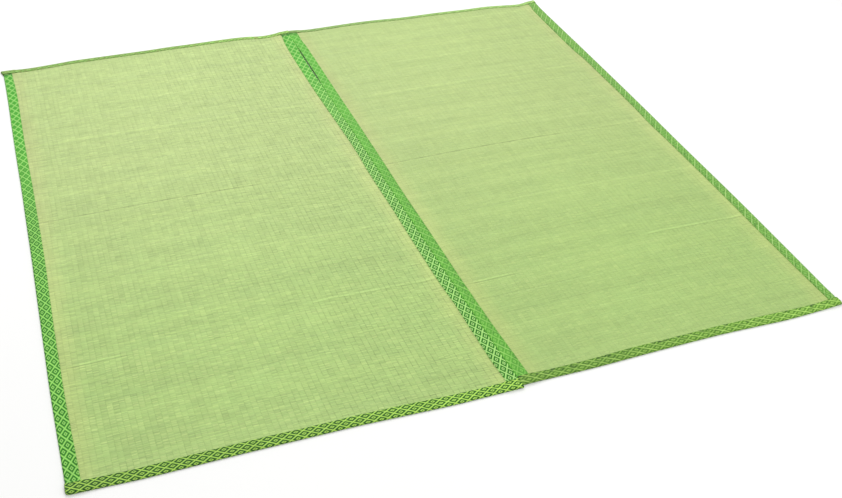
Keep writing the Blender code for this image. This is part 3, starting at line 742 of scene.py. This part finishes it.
def make_side_strip(panel, side, name, material, tone_at, gain_at, painted_fold_shading_at):
    seed = {"left": 2.0, "right": 5.0}[panel] + {"left": 0.3, "right": 1.9}[side]
    own = panel + ("_outer" if side == panel else "_inner")
    sign = 1.0 if side == "left" else -1.0
    count = 446
    t = np.linspace(0.0, 1.0, count)
    h = np.full(count, BIND_HEIGHT)
    y0 = -882.0 + 1756.0 * t
    edge = side_x(panel, side, y0)
    top = hem(own, y0, np.minimum(end_y(panel, "far", edge) - y0, y0 - end_y(panel, "near", edge)))
    top = top + 0.28 * wander(y0, seed, 60.0) + 0.16 * wander(y0, seed + 4.0, 9.0)
    points, unfold, n_out = section(h, top, square=side != panel)
    n = len(points)
    X, Y, Z, P, Q, E = (np.zeros((count, n)) for _ in range(6))
    for k, (u, up) in enumerate(points):
        y = -800.0 + 1600.0 * t
        for _ in range(5):
            x = side_x(panel, side, y) + sign * u
            near = end_y(panel, "near", x) + RUSH_INSET
            far = end_y(panel, "far", x) - RUSH_INSET
            y = near + t * (far - near)
        d_far = end_y(panel, "far", x) - y
        d_end = np.minimum(d_far, y - end_y(panel, "near", x))
        z = up + raised(d_end) + lift(panel, side_x(panel, side, 860.0) + sign * u, d_far)
        if k < 15:
            z = z + puff(y, u, top, seed) * smooth(30.0, 60.0, d_end)
            if k < 3:
                z = z - 0.14 * smooth(30.0, 44.0, d_end)
        X[:, k], Y[:, k], Z[:, k] = x, y, z
        P[:, k], Q[:, k], E[:, k] = y, unfold[k], top - unfold[k]
    tone = np.repeat(tone_at(t)[:, None], n, axis=1)
    gain = np.repeat(gain_at(t)[:, None], n, axis=1)
    painted_fold_shading = np.repeat(painted_fold_shading_at(t)[:, None], n, axis=1)
    faces = strip_faces(count, n)
    caps = cap(0, n_out, n, False) + cap((count - 1) * n, n_out, n, True)
    if side == "right":
        faces = faces[:, ::-1]
        caps = [f[::-1] for f in caps]
    verts = np.stack([X, Y, Z], -1).reshape(-1, 3)
    values = {"cloth": np.stack([P, Q, tone], -1).reshape(-1, 3), "hem": np.stack([E, gain, painted_fold_shading], -1).reshape(-1, 3)}
    return build(name, verts, faces, caps, values, material)


def make_end_strip(panel, end, name, material, tone_at, gain_at, painted_fold_shading_at):
    seed = {"left": 8.0, "right": 11.0}[panel] + {"far": 0.7, "near": 2.9}[end]
    outer = panel                       # the side of the panel away from the seam
    sign = 1.0 if outer == "left" else -1.0
    over_fold, over_tip = END_OVER[(panel, end)]
    corner = CORNER_ROUND[(panel, end)]
    step = -1.0 if end == "far" else 1.0
    # d: in from the outer side edge, as far as the seam
    ref_y = 850.0 if end == "far" else -860.0
    width = float(side_x(panel, "right", ref_y) - side_x(panel, "left", ref_y))
    d = np.concatenate([[-END_CLEAR, 0.4, 1.2, 2.1, 3.2, 4.6, 6.2], np.linspace(8.0, width, 222)])
    from_seam = width - d
    d_side = np.minimum(d, from_seam)
    h = BIND_HEIGHT + raised(d_side) + lapped(d_side)
    x0 = float(side_x(panel, outer, ref_y)) + sign * d
    top = hem(panel + "_" + end, x0)
    top = top + 0.3 * wander(x0, seed, 55.0) + 0.18 * wander(x0, seed + 3.0, 10.0)
    points, unfold, n_out = section(h, top)
    n, count = len(points), len(d)
    X, Y, Z, P, Q, E = (np.zeros((count, n)) for _ in range(6))

    def edge_x(dd, y):
        """x at a distance in from the outer side, spread so that the last lands on the seam."""
        lo = side_x(panel, outer, y)
        hi = side_x(panel, "right" if outer == "left" else "left", y)
        return np.where(dd < 40.0, lo + sign * dd,
                        np.where(width - dd < 40.0, hi - sign * (width - dd),
                                 lo + sign * 40.0 + (hi - lo - sign * 80.0) * (dd - 40.0) / (width - 80.0)))

    def drawn(past, u):
        """How far a rounded corner draws the fold in, past being measured from the tucked end."""
        a = np.clip(corner - past, 0.0, corner)
        full = corner - np.sqrt(np.maximum(corner * corner - a * a, 0.0))
        return np.minimum(full, corner * 0.85) * np.clip(1.0 - u / 11.0, 0.0, 1.0)

    for k, (u, up) in enumerate(points):
        y = np.full(count, ref_y)
        for _ in range(5):
            x = edge_x(d, y)
            y = end_y(panel, end, x) + step * (u + drawn(d + over_fold, u))
        far_in = u if end == "far" else np.full(count, 500.0)
        z = up + lift(panel, edge_x(np.maximum(d, 0.0), 860.0), far_in)
        if k < 15:
            z = z + puff(x, u, top, seed) * smooth(3.0, 20.0, d_side)
            # tucks where the cloth gathers at the corner
            z = z + 0.22 * np.sin(d * 1.05 + u * 0.16 + seed) * (1.0 - smooth(6.0, 24.0, d)) * np.clip(u / 5.0, 0.0, 1.0)
            if k < 3:
                z = z - 0.14 * smooth(30.0, 44.0, d_side)
        X[:, k], Y[:, k], Z[:, k] = x, y, z
        P[:, k], Q[:, k], E[:, k] = x, unfold[k], top - unfold[k]
    verts = [np.stack([X, Y, Z], -1).reshape(-1, 3)]
    tone, gain = tone_at(np.clip(d / width, 0, 1)), gain_at(np.clip(d / width, 0, 1))
    cloth = [np.stack([P, Q, np.repeat(tone[:, None], n, axis=1)], -1).reshape(-1, 3)]
    painted_fold_shading = painted_fold_shading_at(np.clip(d / width, 0, 1))
    other = [np.stack([E, np.repeat(gain[:, None], n, axis=1), np.repeat(painted_fold_shading[:, None], n, axis=1)], -1).reshape(-1, 3)]
    faces = [strip_faces(count, n)]
    # open at the seam, tucked in at the outer end
    caps = cap((count - 1) * n, n_out, n, True)
    h0, top0 = float(h[0]), float(top[0])
    loops = []
    for q in (0.40, 0.70, 0.90, 1.0):
        squeeze = math.sqrt(max(1.0 - q * q, 0.0)) * 0.90 + 0.10
        loop = []
        for k in range(n_out):
            u, up = float(points[k][0][0]), float(points[k][1][0])
            over = over_fold + (over_tip - over_fold) * min(u / top0, 1.0)
            past = END_CLEAR + (over - END_CLEAR) * q
            y = ref_y
            for _ in range(5):
                x = float(side_x(panel, outer, y)) - sign * past
                y = float(end_y(panel, end, x)) + step * (u + float(drawn(over_fold - past, u)))
            z = h0 * 0.46 + (up - h0 * 0.46) * squeeze
            far_in = np.array([u if end == "far" else 500.0])
            z = max(z, 0.0) + float(lift(panel, np.array([side_x(panel, outer, 860.0)]), far_in)[0])
            loop.append((x, y, z))
            cloth.append(np.array([[x, float(unfold[k][0]), float(tone[0])]]))
            # darker deeper into the tucked end: painted shade in the tuck
            other.append(np.array([[top0 - float(unfold[k][0]), float(gain[0]) * (1.0 - 0.35 * q), float(painted_fold_shading[0])]]))
        loops.append(loop)
    base = count * n
    for loop in loops:
        verts.append(np.array(loop))
    previous = list(range(n_out))
    extra, tris = [], []
    for k in range(len(loops)):
        now = [base + k * n_out + m for m in range(n_out)]
        for m in range(n_out):
            m2 = (m + 1) % n_out
            if k == 0 and m == n_out - 1:
                # across the mouth between the two tips, where the inside loop also meets
                continue
            extra.append([now[m], now[m2], previous[m2], previous[m]])
        previous = now
    mouth = base
    tris.append([n_out - 1, n_out, n - 1, 0, mouth, mouth + n_out - 1][::-1])
    inner = list(range(n_out, n))
    tris.append(inner[::-1])
    tris.append(list(range(previous[0], previous[0] + n_out)))
    faces.append(np.array(extra))
    tris = tris + caps
    faces = np.concatenate(faces)
    flip = (sign > 0) == (end == "far")
    if flip:
        faces = faces[:, ::-1]
        tris = [f[::-1] for f in tris]
    values = {"cloth": np.concatenate(cloth), "hem": np.concatenate(other)}
    return build(name, np.concatenate(verts), faces, tris, values, material)


# ------------------------------------------------------------------ looks of the strips
# base, lattice, dark outline, centre dot, then the lattice and ground of the painted sheen, shown where the contrast is
# low
BRIGHT = ((86, 172, 40), (152, 212, 104), (24, 86, 22), (48, 114, 34), (150, 218, 104), (66, 168, 28))
SEAM = ((94, 180, 48), (178, 222, 132), (12, 60, 18), (38, 100, 34), (154, 220, 106), (72, 174, 34))
NEAR_LOOK = ((80, 138, 32), (168, 206, 88), (4, 38, 12), (54, 104, 34), (130, 190, 80), (80, 138, 32))
SOFT = ((94, 174, 48), (152, 206, 104), (74, 130, 48), (84, 150, 54), (134, 206, 92), (84, 176, 42))
RIGHT = ((108, 172, 60), (168, 206, 122), (78, 126, 48), (86, 150, 56), (164, 208, 116), (104, 178, 58))
NEAR_SOFT = ((100, 148, 42), (170, 208, 104), (30, 64, 20), (80, 132, 50), (130, 180, 80), (94, 148, 48))
FAR_LOOK = ((104, 166, 56), (166, 208, 112), (72, 98, 38), (90, 130, 50), (150, 200, 100), (104, 166, 56))
FAR_SOFT = ((134, 176, 88), (172, 200, 124), (112, 140, 74), (110, 150, 70), (154, 190, 110), (130, 170, 84))


def ends(*pairs):
    xs, ys = zip(*pairs)
    return lambda t: np.interp(t, xs, ys)


made = {}
for panel in ("left", "right"):
    made["panel_" + panel] = make_panel(panel)

# painted shade on the seam's two folds where the join has opened, and painted light on them elsewhere, lifting the
# shade in the groove between them
SEAM_PAINTED_FOLD_SHADING = ends((0, 1.25), (0.79, 1.25), (0.815, 0.22), (0.915, 0.22), (0.94, 1.25), (1, 1.25))
# name, panel, side, cell centre in from the fold, phase along, colours, crispness, then the contrast (low where the
# figure carries painted sheen), the gain (its dips near the far end are painted shadow beside the far end binding's
# hem) and the painted shading of the fold's outer face, from the near end to the far one
SIDES = (
    ("binding_left_outer", "left", "left", 7.0, -646.5, BRIGHT, 1.0,
     ends((0, 1.0), (0.5, 1.0), (0.66, 0.30), (0.76, 0.0), (1, 0.0)),
     ends((0, 0.97), (0.2, 1.02), (0.42, 1.0), (0.6, 0.94), (0.98, 0.86), (0.984, 0.42), (0.991, 0.42), (1, 0.86)), ends((0, 0.72), (1, 0.72))),
    ("binding_left_inner", "left", "right", 7.5, -592.0, SEAM, 1.0,
     ends((0, 1.0), (0.6, 0.95), (0.74, 0.5), (0.84, 0.12), (1, 0.0)),
     ends((0, 0.94), (0.3, 0.98), (0.7, 0.95), (0.98, 0.82), (0.984, 0.40), (0.9905, 0.40), (0.993, 0.82), (1, 0.82)), SEAM_PAINTED_FOLD_SHADING),
    ("binding_right_inner", "right", "left", 6.0, -610.0, SOFT, 0.3,
     ends((0, 1.0), (0.5, 0.9), (0.8, 0.3), (1, 0.1)),
     ends((0, 0.98), (0.45, 0.96), (0.7, 0.95), (0.98, 0.90), (0.984, 0.60), (0.9905, 0.60), (0.993, 0.9), (1, 0.9)), SEAM_PAINTED_FOLD_SHADING),
    ("binding_right_outer", "right", "right", 7.0, -640.0, RIGHT, 0.3,
     ends((0, 1.0), (1, 0.9)), ends((0, 0.98), (0.45, 0.98), (0.7, 0.96), (1, 0.92)), ends((0, 0.60), (1, 0.60))),
)
for name, panel, side, centre, phase, look, sharp, tone, gain, painted_fold_shading in SIDES:
    mat = border_material(name, centre, phase, look, sharp)
    made[name] = make_side_strip(panel, side, "cloth_" + name, mat, tone, gain, painted_fold_shading)

# the same for the end bindings, from the outer corner to the seam for the left panel and back for
# the right one
ENDS = (
    ("binding_left_far_end", "left", "far", 2.0, -720.0, FAR_LOOK, 1.0, ends((0, 1.0), (1, 1.0)),
     ends((0, 1.0), (0.5, 1.05), (0.7, 1.18), (1, 1.32)), ends((0, 0.72), (1, 0.72)), ((132, 128, 70), 0.55)),
    ("binding_left_near_end", "left", "near", 11.5, -723.2, NEAR_LOOK, 1.0, ends((0, 1.0), (1, 0.95)),
     ends((0, 0.97), (0.4, 1.02), (0.6, 1.12), (1, 1.28)), ends((0, 0.80), (1, 0.80)), None),
    ("binding_right_far_end", "right", "far", 2.0, 380.0, FAR_SOFT, 0.3, ends((0, 0.5), (1, 0.8)),
     ends((0, 1.20), (0.3, 1.18), (0.55, 1.05), (0.85, 0.92), (1, 0.86)), ends((0, 0.72), (1, 0.72)), None),
    ("binding_right_near_end", "right", "near", 8.0, 395.0, NEAR_SOFT, 0.3, ends((0, 0.9), (1, 1.0)),
     ends((0, 1.28), (0.3, 1.18), (0.6, 1.05), (0.8, 0.95), (1, 0.97)), ends((0, 0.80), (1, 0.80)), None),
)
for name, panel, end, centre, phase, look, sharp, tone, gain, painted_fold_shading, stain in ENDS:
    mat = border_material(name, centre, phase, look, sharp, stain, 0.92 if (panel, end) == ("left", "near") else 1.0)
    made[name] = make_end_strip(panel, end, "cloth_" + name, mat, tone, gain, painted_fold_shading)

for node, obj in made.items():
    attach(obj, "root")
    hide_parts(node)

# ------------------------------------------------------------------ floor, light and camera
floor_mesh = bpy.data.meshes.new("floor")
floor_mesh.from_pydata([(-14, -14, 0), (14, -14, 0), (14, 14, 0), (-14, 14, 0)], [], [(0, 1, 2, 3)])
floor = bpy.data.objects.new("floor", floor_mesh)
bpy.context.scene.collection.objects.link(floor)
floor_mat = bpy.data.materials.new("floor")
floor_mat.use_nodes = True
floor_mat.node_tree.nodes["Principled BSDF"].inputs["Base Color"].default_value = (0.90, 0.90, 0.89, 1.0)
floor_mat.node_tree.nodes["Principled BSDF"].inputs["Roughness"].default_value = 0.9
floor_mat.node_tree.nodes["Principled BSDF"].inputs["Specular IOR Level"].default_value = 0.1
floor_mesh.materials.append(floor_mat)

world = bpy.data.worlds.new("studio")
world.use_nodes = True
world.node_tree.nodes["Background"].inputs["Color"].default_value = (1.0, 1.0, 1.0, 1.0)
world.node_tree.nodes["Background"].inputs["Strength"].default_value = 0.72
bpy.context.scene.world = world


def area_light(name, place, aim, size, power):
    data = bpy.data.lights.new(name, "AREA")
    data.shape = "DISK"
    data.size = size
    data.energy = power
    lamp = bpy.data.objects.new(name, data)
    lamp.location = place
    lamp.rotation_euler = (Vector(aim) - Vector(place)).to_track_quat("-Z", "Y").to_euler()
    bpy.context.scene.collection.objects.link(lamp)


area_light("key", (0.15, 3.3, 3.3), (0.0, 0.0, 0.0), 3.0, 100.0)
area_light("fill", (0.9, -2.6, 3.6), (0.0, 0.0, 0.0), 3.0, 46.0)

scene = bpy.context.scene
scene.view_settings.view_transform = "Standard"

yaw, pitch, roll = math.radians(22.08), math.radians(36.60), math.radians(2.46)
forward = Vector((math.sin(yaw) * math.cos(pitch), math.cos(yaw) * math.cos(pitch), -math.sin(pitch)))
across = Vector((math.cos(yaw), -math.sin(yaw), 0.0))
upward = across.cross(forward)
cam_x = across * math.cos(roll) + upward * math.sin(roll)
cam_y = upward * math.cos(roll) - across * math.sin(roll)
cam_data = bpy.data.cameras.new("camera")
cam_data.lens = 47.03
cam_data.sensor_width = 36.0
cam = bpy.data.objects.new("camera", cam_data)
cam.matrix_world = Matrix((
    (cam_x.x, cam_y.x, -forward.x, -0.80444),
    (cam_x.y, cam_y.y, -forward.y, -2.35433),
    (cam_x.z, cam_y.z, -forward.z, 1.596),
    (0.0, 0.0, 0.0, 1.0),
))
scene.collection.objects.link(cam)
scene.camera = cam
